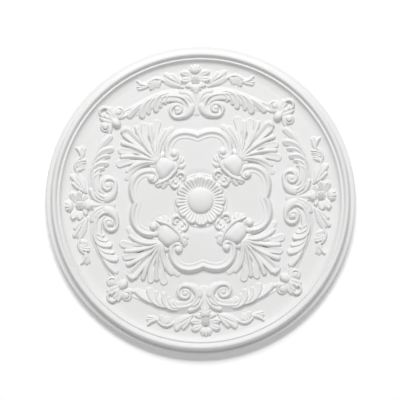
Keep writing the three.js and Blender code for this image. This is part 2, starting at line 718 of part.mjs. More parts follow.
// Crests of the petals' ribs and slits between them, at the root, the crown and the tip
function ribSpots() {
  const step = 180 / (PETAL.count * PETAL.ribs);
  const spots = [];
  for (let degrees = 0; degrees <= WEDGE_DEGREES; degrees += step) {
    const way = new THREE.Vector2(Math.sin(degToRad(degrees)), Math.cos(degToRad(degrees)));
    const tip = petalTip(acrossPetal(way.x, way.y));
    const radii = [PETAL.root, PETAL.crown - 2, tip - 1];
    spots.push(...radii.map((radius) => way.clone().multiplyScalar(radius)));
  }
  return spots;
}

// Middle and shoulders of the shield
function shieldSpots() {
  const { centre, halfLong, halfWide, taper } = SHIELD;
  const spots = [];
  for (const endways of [-0.7, 0, 0.7]) {
    for (const sideways of [0, 0.7]) {
      const onward = endways * halfLong * Math.SQRT1_2;
      const aside = sideways * halfWide * (1 - taper * endways) * Math.SQRT1_2;
      spots.push(new THREE.Vector2(centre + onward - aside, centre + onward + aside));
    }
  }
  return spots;
}

function faceTriangles() {
  const centre = new THREE.Vector3(0, 0, faceHeight(0, 0));
  const border = [centre, ...ringPoints(CARVED_RADIUS, rimHeight(CARVED_RADIUS))];
  const wedge = new FittedWedge(faceHeight, border, [...ribSpots(), ...shieldSpots()]);
  return [...wedge.faces].map(({ corners }) => corners.map((corner) => wedge.points[corner]));
}

// The wedge mirrored round into the whole disc
function roseGeometry() {
  const positions = [];
  const triangles = [...faceTriangles(), ...rimTriangles()];
  for (const swapped of [false, true]) {
    for (const signX of [1, -1]) {
      for (const signY of [1, -1]) {
        const reversed = swapped !== signX * signY < 0;
        for (const triangle of triangles) {
          for (const { x, y, z } of reversed ? triangle.toReversed() : triangle) {
            positions.push(signX * (swapped ? y : x), signY * (swapped ? x : y), z);
          }
        }
      }
    }
  }
  const geometry = new THREE.BufferGeometry();
  geometry.setAttribute("position", new THREE.Float32BufferAttribute(positions, 3));
  const merged = mergeVertices(geometry);
  merged.computeVertexNormals();
  return merged;
}

const material = new THREE.MeshStandardMaterial({ color: 0xf1f1ef, roughness: 0.8, metalness: 0 });
const rose = new THREE.Mesh(roseGeometry(), material);
rose.name = "ceiling_rose";

const group = new THREE.Group();
group.add(rose);

export default group;
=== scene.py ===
"""Looks of a moulded ceiling rose: a finely modelled relief in matt white primer, lying on a white floor.

The rose lies on its back with the ornament facing +Z. The relief is worked out in millimetres in the
wedge 0 <= x <= y, mirrored round into eight wedges and scaled to metres when the mesh is made.
"""
import math

import bpy
import numpy as np
from mathutils import Matrix, Vector

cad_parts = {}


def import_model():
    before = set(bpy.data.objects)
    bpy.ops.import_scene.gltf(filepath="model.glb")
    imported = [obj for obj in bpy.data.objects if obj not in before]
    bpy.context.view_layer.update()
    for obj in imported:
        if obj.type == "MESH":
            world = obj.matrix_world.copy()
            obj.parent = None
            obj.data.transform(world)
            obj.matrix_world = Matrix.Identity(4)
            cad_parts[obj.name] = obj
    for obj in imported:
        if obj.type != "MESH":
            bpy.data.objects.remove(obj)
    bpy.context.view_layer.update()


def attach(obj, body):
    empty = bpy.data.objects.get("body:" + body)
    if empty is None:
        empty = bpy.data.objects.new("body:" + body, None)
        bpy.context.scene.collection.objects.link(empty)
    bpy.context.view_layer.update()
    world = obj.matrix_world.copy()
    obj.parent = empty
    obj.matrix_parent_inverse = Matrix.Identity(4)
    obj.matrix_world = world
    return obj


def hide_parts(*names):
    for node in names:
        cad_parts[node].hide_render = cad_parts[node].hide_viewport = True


MM = 0.001

# Overall sizes, millimetres
OUTER_RADIUS = 350.0
WEDGE_ANGLE = math.radians(45)

# Heights above the back
FIELD = 16.0
PANEL = 22.8
PANEL_FOOT = 21.0

# Height over which raised forms run into each other
BLEND = 0.9

# Fineness of the curves: steps in each stretch of a spline, steps in a blade, and degrees in an arc's step
SPLINE_STEPS = 10
BLADE_STEPS = 16
ARC_STEP = 5

# Fineness of the mesh
RINGS = 640
WEDGE_TRIANGLES = 24400
SOFTENING_ROUNDS = 3
SHARP_ANGLE = math.radians(30)

# How near to a border of the wedge, or to the outer edge, a point counts as on it
BORDER_REACH = 0.25
EDGE_REACH = 0.01
SHARED_DECIMALS = 4
TINY = 1e-6

# Rim profile: radius and height, from the field out to the edge
RIM_PROFILE = [
    (298.0, FIELD), (306.0, 17.2), (311.6, 19.2), (315.2, 22.2), (316.9, 25.2), (318.0, 26.9),
    (319.4, 27.4), (320.7, 27.0), (322.0, 25.6), (323.2, 26.0), (325.0, 29.0), (327.0, 32.2),
    (329.4, 33.8), (332.0, 33.8), (334.2, 32.6), (335.8, 28.6), (337.0, 23.6), (338.4, 20.4),
    (340.6, 19.2), (346.0, 18.8), (348.4, 18.0), (OUTER_RADIUS, 16.0),
]

# Moulding of the quatrefoil frame: distance outward from its crest line, and height
FRAME_PROFILE = [
    (-18.0, PANEL), (-14.6, 22.6), (-13.4, 22.8), (-12.4, 24.0), (-11.2, 24.3), (-9.4, 23.8),
    (-7.6, 23.5), (-6.0, 23.9), (-4.4, 25.0), (-2.8, 26.5), (-1.4, 27.5), (0.0, 27.8),
    (1.4, 27.3), (3.2, 25.3), (5.2, 21.8), (7.0, 18.1), (8.6, 16.4), (10.4, FIELD),
]

# Plain slope that takes the moulding's place under the boss: where it begins and ends along the crest line
FRAME_END_PROFILE = [(-7.0, PANEL), (7.0, FIELD)]
FRAME_END = (0.8, 0.88)

# Radius within which the ground is the quatrefoil and not the rim's field
FRAME_REACH = 200

# Sunk ring of ground round the rosette: radius, half width, depth, and the radius where it ends
MOAT_RADIUS = 63
MOAT_HALF = 6
MOAT_DEPTH = 1.6
MOAT_END = 90

# Thin ring and ribbed petals of the rosette
RING_RADIUS = 59
RING_HALF = 3.4
RING_RISE = 7.2
PETAL_COUNT = 12
RIBS_PER_PETAL = 3
PETAL_ROOT = 30
PETAL_CROWN = 49
PETAL_REACH = 50.5
PETAL_LOBE = 7.5
PETAL_SCALLOP = 0.92
PETAL_CAP = 6
PETAL_FOOT = 18
PETAL_LOW = 23
PETAL_HIGH = 30
SLIT_DEPTH = 3
SEAM_DEPTH = 2.5

# Seed boss in the flower: its crossed grooves
SEED_BOSS = (0.0, 273.0)
SEED_STEP = 4.8
SEED_ROWS = 3
SEED_REACH = 8
SEED_EDGE = 8.2
SEED_HALF = 1.6
SEED_DEPTH = 3.2

# Notches and ruffles at the ends of the flower's petals
NOTCH_HALVES = [2.2, 1.8, 0.8]
RUFFLE_LENGTH = 9
RUFFLE_SIDE = 0.55

# Centres of the bell flower and of the small rose beside the diagonal
BELL = (208.0, 208.0)
SMALL_ROSE = (175.5, 207.0)

# Floor: half its side and how far it lies under the back, metres
FLOOR_REACH = 4.0
FLOOR_DROP = 0.0003

# Soft lights: name, place, width and height in metres, and watts
LIGHTS = [
    ("key_left", (-1.0, 4.5, 4.9), 2.0, 2.0, 224),
    ("key_right", (1.1, 4.5, 5.0), 2.0, 2.0, 205),
    ("fill_front", (0.1, -4.8, 2.6), 2.0, 1.2, 42),
]
ROOM_LIGHT = 0.3

# Camera: distance and the edge's height in metres, roll, and the rose's radius and shift in picture pixels
CAMERA_DISTANCE = 6.0
EDGE_HEIGHT = 0.016
CAMERA_ROLL = math.radians(2.4)
PICTURE_PIXELS = 400
RADIUS_PIXELS = 154.9
SHIFT_PIXELS = (-0.5, 0.6)


# Numbers


def smooth_max(a, b):
    """Height of two forms run together with a small fillet."""
    gap = np.maximum(BLEND - np.abs(a - b), 0.0) / BLEND
    return np.maximum(a, b) + gap * gap * BLEND / 4


def smooth_step(low, high, value):
    """Smooth rise from 0 at low to 1 at high."""
    t = np.clip((value - low) / (high - low), 0.0, 1.0)
    return t * t * (3 - 2 * t)


def along(values, place):
    """Value at place 0 to 1 along a list of evenly spaced values."""
    values = np.asarray(values, float)
    return np.interp(place, np.linspace(0.0, 1.0, len(values)), values)


def smooth_table(rows):
    """Function through rising (key, value) rows, with no corners and no overshoot."""
    keys, values = np.array(rows, float).T
    slopes = np.diff(values) / np.diff(keys)
    tangents = np.concatenate([slopes[:1], np.zeros(len(slopes) - 1), slopes[-1:]])
    same_way = slopes[:-1] * slopes[1:] > 0
    harmonic = 2 * slopes[:-1] * slopes[1:] / np.where(same_way, slopes[:-1] + slopes[1:], 1.0)
    tangents[1:-1] = np.where(same_way, harmonic, 0.0)

    def value_at(key):
        key = np.clip(key, keys[0], keys[-1])
        i = np.clip(np.searchsorted(keys, key, side="right") - 1, 0, len(keys) - 2)
        width = keys[i + 1] - keys[i]
        t = (key - keys[i]) / width
        return (
            (2 * t**3 - 3 * t**2 + 1) * values[i]
            + (t**3 - 2 * t**2 + t) * width * tangents[i]
            + (3 * t**2 - 2 * t**3) * values[i + 1]
            + (t**3 - t**2) * width * tangents[i + 1]
        )

    return value_at


# Curves


def spline(*points):
    """Smooth curve through points."""
    knots = np.array(points, float)
    last = len(knots) - 1
    rows = []
    for t in np.linspace(0, last, SPLINE_STEPS * last + 1):
        i = min(int(t), last - 1)
        w = t - i
        start, end = knots[i], knots[i + 1]
        leave = (end - knots[max(i - 1, 0)]) / 2
        arrive = (knots[min(i + 2, last)] - start) / 2
        rows.append(
            (2 * start - 2 * end + leave + arrive) * w**3
            + (3 * end - 3 * start - 2 * leave - arrive) * w**2
            + leave * w
            + start
        )
    return np.array(rows)


def blade(root, tip, bow):
    """Curve from root to tip whose middle stands bow to the left of the straight line."""
    root, tip = np.array(root, float), np.array(tip, float)
    run = tip - root
    left = np.array([-run[1], run[0]]) / np.hypot(*run)
    control = (root + tip) / 2 + 2 * bow * left
    t = np.linspace(0, 1, BLADE_STEPS + 1)[:, None]
    return (1 - t) ** 2 * root + 2 * t * (1 - t) * control + t**2 * tip


def spiral(centre, from_radius, to_radius, from_angle, to_angle):
    """Arc between two angles in degrees, or a spiral where the radius changes on the way."""
    t = np.linspace(0, 1, math.ceil(abs(to_angle - from_angle) / ARC_STEP) + 1)
    angle = np.radians(from_angle + (to_angle - from_angle) * t)
    radius = from_radius * (to_radius / from_radius) ** t
    return np.stack([centre[0] + radius * np.cos(angle), centre[1] + radius * np.sin(angle)], axis=1)


def nearest_on(line, x, y):
    """How points lie to a line: distance, lean and place.

    The lean runs from -1 right of the line to 1 left of it, and the place from 0 to 1 along it.
    """
    nearest = np.full(len(x), np.inf)
    place = np.zeros(len(x))
    lean = np.ones(len(x))
    lengths = np.hypot(*np.diff(line, axis=0).T)
    runs = np.concatenate([[0.0], np.cumsum(lengths)]) / lengths.sum()
    for k, length in enumerate(lengths):
        if length == 0:
            continue
        step_x, step_y = line[k + 1] - line[k]
        share = np.clip(((x - line[k, 0]) * step_x + (y - line[k, 1]) * step_y) / length**2, 0, 1)
        off_x = x - line[k, 0] - share * step_x
        off_y = y - line[k, 1] - share * step_y
        distance = np.hypot(off_x, off_y)
        closer = distance < nearest
        nearest = np.where(closer, distance, nearest)
        place = np.where(closer, runs[k] + share * (runs[k + 1] - runs[k]), place)
        turned = (step_x * off_y - step_y * off_x) / (length * np.maximum(distance, TINY))
        lean = np.where(closer, turned, lean)
    return nearest, lean, place


# Sections of a stroke: share of its height at s, from -1 at its right edge to +1 at its left edge


def leaf_section(s):
    """Full and rounded."""
    return (1 - np.abs(s) ** 2.4) ** 0.6


def spoon_section(s):
    """A little hollow between its edges."""
    return np.sqrt(1 - s**6) * (0.66 + 0.34 * s**2)


def channel_section(s):
    """Deep channel between two raised edges."""
    return np.sqrt(1 - s**6) * (0.36 + 0.64 * np.abs(s) ** 0.9)


def flat_section(s):
    """Flat top with rounded edges."""
    return np.sqrt(1 - s**6)


def swell_section(s):
    """Soft swell that runs out flat at both edges."""
    return (1 - s**2) ** 1.5


def ridge_section(crest=0.4, low=0.42):
    """Crest near the left edge, and a hollow slope that falls to a low share of the height at the right."""
    foot = 0.18

    def section(s):
        steep = np.sqrt(np.maximum(1 - (np.maximum(s - crest, 0) / (1 - crest)) ** 2, 0))
        slope = low + (1 - low) * (np.clip((s + 1) / (1 + crest), 0, 1)) ** 1.3
        return np.where(s > crest, steep, slope * np.sqrt(np.clip((s + 1) / foot, 0, 1)))

    return section


class Face:
    """Heights over a set of points, raised and cut form by form."""

    def __init__(self, x, y, ground):
        self.x, self.y, self.ground = x, y, ground
        self.z = ground.copy()

    def raise_to(self, near, inside, height):
        """Raise the near points that are inside a form to its height."""
        low = self.z[near]
        self.z[near] = np.where(inside, smooth_max(low, height), low)

    def points_near(self, low, high, reach):
        """Numbers of the points in a box, or within reach of it."""
        return np.flatnonzero(
            (self.x > low[0] - reach) & (self.x < high[0] + reach)
            & (self.y > low[1] - reach) & (self.y < high[1] + reach)
        )

    def across(self, line, halves):
        """Points near a band along a line: share of its half width, lean, and place along it."""
        near = self.points_near(line.min(axis=0), line.max(axis=0), max(halves))
        distance, lean, place = nearest_on(line, self.x[near], self.y[near])
        return near, distance / along(halves, place), lean, place

    def stroke(self, line, halves, tops, section=leaf_section, foot=FIELD):
        """Raised band along a line: half widths and tops run evenly from its start to its end."""
        near, s, lean, place = self.across(line, halves)
        inside = s < 1
        s = np.minimum(s, 1)
        share = (section(s) * (1 + lean) + section(-s) * (1 - lean)) / 2
        self.raise_to(near, inside, foot + (along(tops, place) - foot) * share)

    def groove(self, line, halves, depths):
        """Cut along a line, never deeper than the ground."""
        near, s, _, place = self.across(line, halves)
        cut = along(depths, place) * np.maximum(1 - s**2, 0) ** 1.5
        self.z[near] = np.maximum(self.z[near] - cut, self.ground[near])

    def dome(
        self, centre, half_long, half_wide, top,
        turn=0.0, foot=FIELD, power=2.0, shape=0.5, taper=0.0,
    ):
        """Raised oval, its long way turned by some degrees and narrower by the taper towards that end."""
        near = self.points_near(centre, centre, max(half_long, half_wide * (1 + taper)))
        cosine, sine = math.cos(math.radians(turn)), math.sin(math.radians(turn))
        off_x, off_y = self.x[near] - centre[0], self.y[near] - centre[1]
        endways = (cosine * off_x + sine * off_y) / half_long
        sideways = (cosine * off_y - sine * off_x) / half_wide / (1 - taper * np.clip(endways, -1, 1))
        spread = np.abs(endways) ** power + np.abs(sideways) ** power
        height = foot + (top - foot) * np.maximum(1 - spread, 0) ** shape
        self.raise_to(near, spread < 1, height)


# Motifs


def frame_line():
    """Crest of the frame: two bows from the axis, then a plain run under the boss to the diagonal."""
    bows = np.concatenate([blade((0, 147), (33.5, 155), 2), spiral((32.5, 115.5), 39.2, 39.2, 88, -18)])
    return np.concatenate([bows, blade(bows[-1], (80, 80), 2)])


def ground(x, y):
    """Field with the rim round it, and the quatrefoil with its moulding, cove and panel."""
    radius = np.hypot(x, y)
    rim = smooth_table(RIM_PROFILE)(radius)
    distance, lean, place = nearest_on(frame_line(), x, y)
    offset = np.where(lean < 0, -distance, distance)
    moulded = smooth_table(FRAME_PROFILE)(offset)
    plain = smooth_table(FRAME_END_PROFILE)(offset)
    end = smooth_step(*FRAME_END, place)
    quatrefoil = moulded + (plain - moulded) * end
    moat = MOAT_DEPTH * np.exp(-(((radius - MOAT_RADIUS) / MOAT_HALF) ** 2))
    sunk = quatrefoil - np.where(radius < MOAT_END, moat, 0)
    return np.where(radius < FRAME_REACH, sunk, rim)


def rosette(face):
    """Ribbed petals round a plain dome, inside a thin ring."""
    radius = np.hypot(face.x, face.y)
    theta = np.arctan2(face.x, face.y)
    everywhere = np.arange(len(radius))
    s = (radius - RING_RADIUS) / RING_HALF
    ring = FIELD + RING_RISE * np.sqrt(np.maximum(1 - s**2, 0))
    face.raise_to(everywhere, np.abs(s) < 1, ring)
    turn = theta * PETAL_COUNT / (2 * math.pi)
    across = 2 * (turn - np.round(turn))
    tip = PETAL_REACH + PETAL_LOBE * np.sqrt(1 - PETAL_SCALLOP * across**2)
    outward = np.clip((radius - PETAL_ROOT) / (PETAL_CROWN - PETAL_ROOT), 0, 1)
    top = PETAL_LOW + (PETAL_HIGH - PETAL_LOW) * outward
    cap = 1 - np.clip((tip - radius) / PETAL_CAP, 0, 1)
    ribbed = smooth_step(PETAL_ROOT - 1, PETAL_ROOT + 1.5, radius)
    ribbed = ribbed * smooth_step(PETAL_CROWN + 6, PETAL_CROWN - 2, radius)
    slit = 0.5 - 0.5 * np.cos(RIBS_PER_PETAL * math.pi * across)
    seam = np.abs(across) ** 6 * smooth_step(PETAL_CROWN - 3, PETAL_CROWN + 3, radius)
    crest = top - SLIT_DEPTH * ribbed * slit**1.4 - SEAM_DEPTH * seam
    petals = PETAL_FOOT + (crest - PETAL_FOOT) * np.sqrt(1 - cap**2)
    face.raise_to(everywhere, radius < tip, petals)
    face.dome((0, 0), 29, 29, 33.5, foot=22.5, shape=0.45)


def frame_curl(face):
    """End of the frame's moulding, curled round a ball."""
    line = spiral((57, 107.5), 15.6, 9, 0, -200)
    tops = [27.8, 28.4, 29, 29.4, 29, 28.4]
    face.stroke(line, [5.8, 5.6, 5, 4.4, 4.0, 3.6], tops, foot=PANEL_FOOT)
    face.dome((54.5, 108.5), 9.6, 9.6, 33, foot=20)


def boss(face):
    """Plain shield on the diagonal, with the leafy lip and the small loops on its inner side."""
    loop = spiral((41.5, 55.5), 9.6, 8.6, 20, 250)
    face.stroke(loop, [3.2, 4, 4.2, 4, 3.2], [27, 29, 29.5, 28.5, 26.5], foot=19)
    face.dome((43.5, 54.5), 4.6, 4.2, 27, turn=45, foot=19)
    lobes = [
        ((46, 88), (37.5, 95), 2, [6, 7, 5.4], [30, 29.5, 27]),
        ((49, 80), (34, 82.5), 2.5, [6, 7.4, 5.2], [30, 29, 26.5]),
        ((51.5, 71), (42, 69.5), 1.5, [5, 5.4, 4], [29, 28, 26]),
    ]
    for root, tip, bow, halves, tops in lobes:
        face.stroke(blade(root, tip, bow), halves, tops, foot=PANEL_FOOT)
    face.dome((78, 78), 20.5, 25, 35, turn=45, foot=PANEL_FOOT, power=3, shape=0.6, taper=0.28)
    lip = spline((41, 99), (44.5, 90), (46.8, 83.5), (50, 76), (54.5, 69), (61.5, 61.5), (69, 54.5))
    halves = [3.4, 4.6, 4.8, 4.6, 4.4, 4.4, 4.4]
    tops = [29, 31.5, 32, 32, 31.8, 31.5, 31.8]
    face.stroke(lip, halves, tops, foot=PANEL_FOOT)


def fan(face):
    """Palmette on the diagonal: hollow lobes, ribs between them and a wide middle lobe."""
    lobes = [
        ((88, 102), (58, 164), -11, [3, 6, 8, 7], [28, 24, 21, 19], leaf_section),
        ((93, 103), (90.5, 178.5), -5.5, [3, 6, 8, 9], [28, 25, 22.5, 20.5], spoon_section),
        ((97, 102), (120, 174), -5, [3, 5.5, 7.5, 8], [28, 25, 23, 21], spoon_section),
        ((94, 94), (158.5, 158.5), 0, [5, 7, 9.5, 13], [29, 28, 26.5, 25.5], channel_section),
        ((91, 103), (73, 162), -7.5, [4, 5.5, 6.5, 5], [29, 27.5, 25, 21], leaf_section),
        ((95, 102), (106.5, 172.5), -4, [4, 4.6, 5.4, 6], [29, 27.5, 26, 22.5], leaf_section),
        ((97, 100), (137, 169.5), -4.5, [4, 4.8, 6, 6], [29, 27.5, 26.5, 23], leaf_section),
    ]
    for root, tip, bow, halves, tops, section in lobes:
        face.stroke(blade(root, tip, bow), halves, tops, section)
    face.groove(blade((105, 128), (112.5, 151), -0.5), [1, 2.4, 2.8, 1], [2, 5.4, 6.4, 1])
    face.groove(blade((98, 132), (98, 156), -0.5), [0.8, 1.6, 1.6, 0.8], [1, 3, 3, 1])
    face.dome((96, 96), 9.5, 15.5, 29.5, turn=45)
    face.dome((84, 104.5), 10, 7.5, 24.5, turn=-40)
    face.dome((166, 166), 5, 11, 26, turn=45)


def scroll(face):
    """Ribbon that runs from the diagonal to the axis and rolls up in a volute."""
    face.stroke(spline((0, 204), (0, 216), (0, 240)), [13, 9, 12], [18.2, 18.8, 20], flat_section)
    face.stroke(spline((0, 199), (0, 216), (0, 242)), [8, 5, 6], [19.4, 21, 22.4])
    face.dome((40, 208), 26, 19, 18.5, shape=0.12)
    ribbon = spline((104, 234.5), (76, 242.5), (45, 243.5), (24, 236.5), (13.5, 222), (12.5, 207))
    tops = [22, 23.6, 24.6, 25.2, 25.8, 25.8]
    face.stroke(ribbon, [4, 8, 9.6, 10, 10.5, 9.5], tops, ridge_section(0.5, 0.12))
    step = spline((80, 226), (65, 230), (47, 230.5), (33, 225), (26, 217))
    face.stroke(step, [4, 5.4, 5.6, 5, 2.5], [22, 22.4, 22.4, 22, 20], flat_section)
    turns = [
        spiral((44, 220), 32.5, 29.6, 194, 264),
        spiral((45, 204.5), 14.3, 13, 262, 436),
        spiral((43, 208.5), 10, 7.8, 66, 293),
    ]
    halves = [10.5, 11, 8.6, 5.8, 4.8, 4.4, 4.6, 5, 5, 4.6, 4, 3.6]
    tops = [25.8, 26, 25.8, 24.8, 24, 24, 24.6, 25, 25.2, 25.4, 25.4, 25]
    face.stroke(np.concatenate(turns), halves, tops)
    face.dome((43, 208), 8, 8, 26)


def acanthus(face):
    """Leaf along the ribbon: its web, two thin outer stems, its fingers and the calyx at its foot."""
    web = spline((70, 234), (100, 221), (125, 209), (150, 199))
    face.stroke(web, [8, 10, 9, 6], [21.5, 20.8, 18.8, 17.4])
    stems = [
        (spline((56, 250), (100, 238.5), (130, 225), (160, 210.5)), 19.2),
        (spline((48, 247), (90, 238), (114, 226.5), (140, 209)), 20.6),
    ]
    for line, top in stems:
        face.stroke(line, [1.4, 4, 4, 3], [top - 2.6, top, top, 18], swell_section)
    between = spline((60, 247), (90, 239.8), (114, 229.5), (138, 216))
    face.groove(between, [0.9, 1.5, 1.6, 1], [0.6, 2.4, 2.4, 1])
    fingers = [
        ((50, 240.5), (69, 223.5), 5.2, 4.4, 1.2),
        ((54, 243), (81, 217), 7.7, 5.2, 1),
        ((62, 244.5), (91.5, 209.5), 11, 8, 0),
        ((78, 241), (108.5, 203.5), 9.2, 5.6, 1),
        ((90, 237.5), (123.5, 198), 8.4, 9.4, 0),
    ]
    for root, tip, bow, half, drop in fingers:
        halves = half * np.array([0.2, 0.4, 0.8, 1, 0.85])
        tops = np.array([23.6, 25.4, 26, 25.4, 23.4]) - drop
        face.stroke(blade(root, tip, bow), halves, tops, ridge_section())
    last = blade((106, 231.5), (151.5, 199), 3.4)
    face.stroke(last, [1.4, 3.2, 6.2, 8, 7.6], [22.6, 24, 24.8, 24.6, 23], ridge_section(0.2, 0.56))
    face.stroke(blade((4, 218), (34, 246), 6), [3.5, 7, 6.4], [21.2, 24.2, 24])
    face.groove(blade((9, 223), (30, 243), 5), [1, 1.8, 1.4], [1, 2.6, 1.6])
    face.stroke(blade((11, 221), (27, 236.5), 2.5), [2.5, 4.2, 3.6], [23.6, 26, 25])


def cluster(face):
    """Bud, bell flower and small rose where two scrolls meet on the diagonal."""
    face.stroke(blade((187, 192), (195, 215.5), 2), [5, 6.4, 5], [21.5, 23.6, 22.6])
    face.stroke(blade((190, 190), (206, 206), 0), [5, 7.5, 9], [23, 24.2, 17.5])
    face.stroke(blade((192, 196), (202, 209.5), 1), [3, 4, 3.6], [22, 24.6, 25])
    face.stroke(spiral(BELL, 10.6, 10, 45, 185), [3.8, 3.6, 3.2, 2.6], [25.8, 25.6, 24.8, 23.4])
    face.dome((183, 183), 13, 10, 29, turn=45)
    face.dome(SMALL_ROSE, 13, 13, 25, shape=0.55)
    face.groove(spiral(SMALL_ROSE, 7.6, 6, 70, 290), [1.4, 2.6, 2.6, 1.4], [2.5, 5.6, 5.6, 2.5])
    face.dome((177.5, 206.5), 4.6, 4.6, 26)
    face.stroke(blade((157, 200), (186, 195.5), -1.5), [3, 5, 5, 4], [19.5, 21.4, 22, 22])


def flower(face):
    """Flower on the axis: cupped petals with notched ends round a seed boss."""
    face.dome((0, 297.5), 14.5, 11, 24.4, power=2.2, shape=0.6)
    petals = [
        ((11, 282), (25.5, 288.5), 1, [6, 8.4, 8], [18, 21.4, 24.4]),
        ((11, 275), (27.5, 273), 0, [6, 8.4, 7.6], [18, 21.4, 24.2]),
        ((8, 265), (18.5, 260), -1, [4, 5.8, 5.4], [18.5, 21.8, 23.8]),
    ]
    for root, tip, bow, halves, tops in petals:
        line = blade(root, tip, bow)
        face.stroke(line, halves, tops)
        face.groove(line, [0.8, 1.8, 2.2], [0.4, 1.6, 2.4])
        out = (line[-1] - line[-2]) / math.dist(line[-1], line[-2])
        side = np.array([-out[1], out[0]])
        for ruffle in (-RUFFLE_SIDE, RUFFLE_SIDE):
            edge = line[-1] + halves[-1] * (out + ruffle * side)
            face.groove(blade(edge, edge - RUFFLE_LENGTH * out, 0), NOTCH_HALVES, [4.8, 3, 0.4])
    face.dome((0, 254.5), 13.4, 10.6, 25.6, power=2.2, shape=0.6)
    face.dome((0, 247.5), 7, 8, 25.2)
    notches = [
        ((4.6, 306), (3, 296)),
        ((14, 303), (8, 297)),
        ((13.5, 245), (6.5, 251)),
        ((15, 253), (7, 255)),
    ]
    for tip, root in notches:
        face.groove(blade(tip, root, 0), NOTCH_HALVES, [4.4, 3, 0.6])
    face.groove(spiral(SEED_BOSS, 10.8, 10.8, -90, 90), [1.8, 1.8], [1.4, 1.4])
    face.dome(SEED_BOSS, 9.6, 9.6, 26.8, shape=0.3)
    seed_x, seed_y = SEED_BOSS
    for row in range(-SEED_ROWS, SEED_ROWS + 1):
        for slant in (-1, 1):
            start = (seed_x - SEED_REACH, seed_y + SEED_STEP * row - SEED_REACH * slant)
            end = (seed_x + SEED_REACH, seed_y + SEED_STEP * row + SEED_REACH * slant)
            seeded = [spot for spot in blade(start, end, 0) if math.dist(spot, SEED_BOSS) < SEED_EDGE]
            if len(seeded) > 1:
                face.groove(np.array(seeded), [SEED_HALF, SEED_HALF], [SEED_DEPTH, SEED_DEPTH])


def spray(face):
    """Leaf spray beside the flower: a broad folded leaf, an arched stem with a hanging leaf, and a tuft."""
    face.stroke(blade((29, 257.5), (61, 277), 0), [3, 8.5, 13.5, 14], [20.5, 22, 22, 21.2])
    folds = [
        ((33, 263), (50.5, 285.5), 1.5, [3, 5, 4.5], [21.6, 23.2, 22.4]),
        ((36, 262.5), (66, 287), 1, [3, 5.2, 6], [22, 23.8, 22.6]),
    ]
    for root, tip, bow, halves, tops in folds:
        face.stroke(blade(root, tip, bow), halves, tops)
    face.groove(blade((30, 260), (68, 279.5), 1), [1.4, 2.2, 2.2, 1.2], [1.5, 2.4, 2, 0.6])
    face.groove(blade((58, 295), (54, 279), 0), [2.4, 1.6, 0.8], [4, 2.4, 0.4])
    face.stroke(blade((80, 273), (86, 263.5), 1), [5, 7.6, 6.4], [21.4, 21.6, 20.4])
    face.stroke(blade((91, 273), (98, 260.5), 1), [5, 7.6, 7.2], [22, 22.2, 21.2])
    hanging_grooves = [((83, 274), (85.5, 258)), ((90, 276), (94, 255)), ((95, 274), (98.5, 255))]
    for root, tip in hanging_grooves:
        face.groove(blade(root, tip, 1.5), [0.8, 1.5, 1.8], [0.6, 1.6, 2.2])
    face.stroke(blade((97, 274), (102, 257.5), 1.5), [2, 3.2, 3.4], [22.6, 23.2, 22.2])
    arch = spline((66, 271), (77, 276.5), (88, 279.5), (98, 276.5), (107, 269))
    face.stroke(arch, [2.2, 3.2, 3.6, 3.4, 3], [20, 21.8, 23.2, 23.2, 22.2])
    face.stroke(blade((106, 264), (125, 262.5), 0), [3.4, 7.6, 9.8], [20.5, 22, 21.4])
    face.stroke(blade((107, 265), (130.5, 275), -3), [2.4, 3.6, 3], [21.5, 23.4, 22.6])
    tuft_grooves = [
        ((112, 263.5), (135, 267), -1.5),
        ((112, 261), (134, 259), 0.5),
        ((113, 258), (126, 252), 1),
    ]
    for root, tip, bow in tuft_grooves:
        face.groove(blade(root, tip, bow), [0.8, 1.6, 1.8], [0.8, 2.4, 2.8])


def relief(x, y):
    """Height of the face over points of the wedge 0 <= x <= y."""
    face = Face(x, y, ground(x, y))
    for form in (rosette, frame_curl, boss, fan, scroll, acanthus, cluster, flower, spray):
        form(face)
    return face.z


# Mesh


def wedge_grid():
    """Points and triangles over one wedge, ring by ring from the centre."""
    ring = np.repeat(np.arange(RINGS + 1), np.arange(1, RINGS + 2))
    first = ring * (ring + 1) // 2
    step = np.arange(len(ring)) - first
    angle = WEDGE_ANGLE * step / np.maximum(ring, 1)
    radius = OUTER_RADIUS * ring / RINGS
    x, y = radius * np.sin(angle), radius * np.cos(angle)
    points = np.stack([x, y, relief(x, y)], axis=1)
    inner = np.flatnonzero(ring < RINGS)
    outer = inner + ring[inner] + 1
    outward = np.stack([inner, outer + 1, outer], axis=1)
    middle = step[inner] < ring[inner]
    inward = np.stack([inner, inner + 1, outer + 1], axis=1)[middle]
    return points, np.concatenate([outward, inward])


def softened(points, triangles):
    """Heights averaged with their neighbours', so that steep edges run smoothly across the grid.

    A border point counts the mirrored half too, and its one inner neighbour balances three outer ones.
    """
    x, y, z = points.T
    radius = np.hypot(x, y)
    sides = np.concatenate([triangles[:, [0, 1]], triangles[:, [1, 2]], triangles[:, [2, 0]]])
    sides = np.unique(np.sort(sides, axis=1), axis=0)
    here, there = np.concatenate([sides, sides[:, ::-1]]).T
    on_border = (x < TINY) | (y - x < TINY)
    inward = radius[there] < radius[here] - TINY
    weight = np.ones(len(here))
    weight[on_border[here] & ~on_border[there]] = 2.0
    weight[on_border[here] & on_border[there] & inward] = 3.0
    total = np.bincount(here, weight)
    free = radius < OUTER_RADIUS - TINY
    for _ in range(SOFTENING_ROUNDS):
        mean = np.bincount(here, weight * z[there]) / total
        z = np.where(free, (z + mean) / 2, z)
    return np.stack([x, y, z], axis=1), triangles


def mesh_from(points, faces, name):
    mesh = bpy.data.meshes.new(name)
    mesh.from_pydata(points.tolist(), [], faces.tolist())
    return mesh


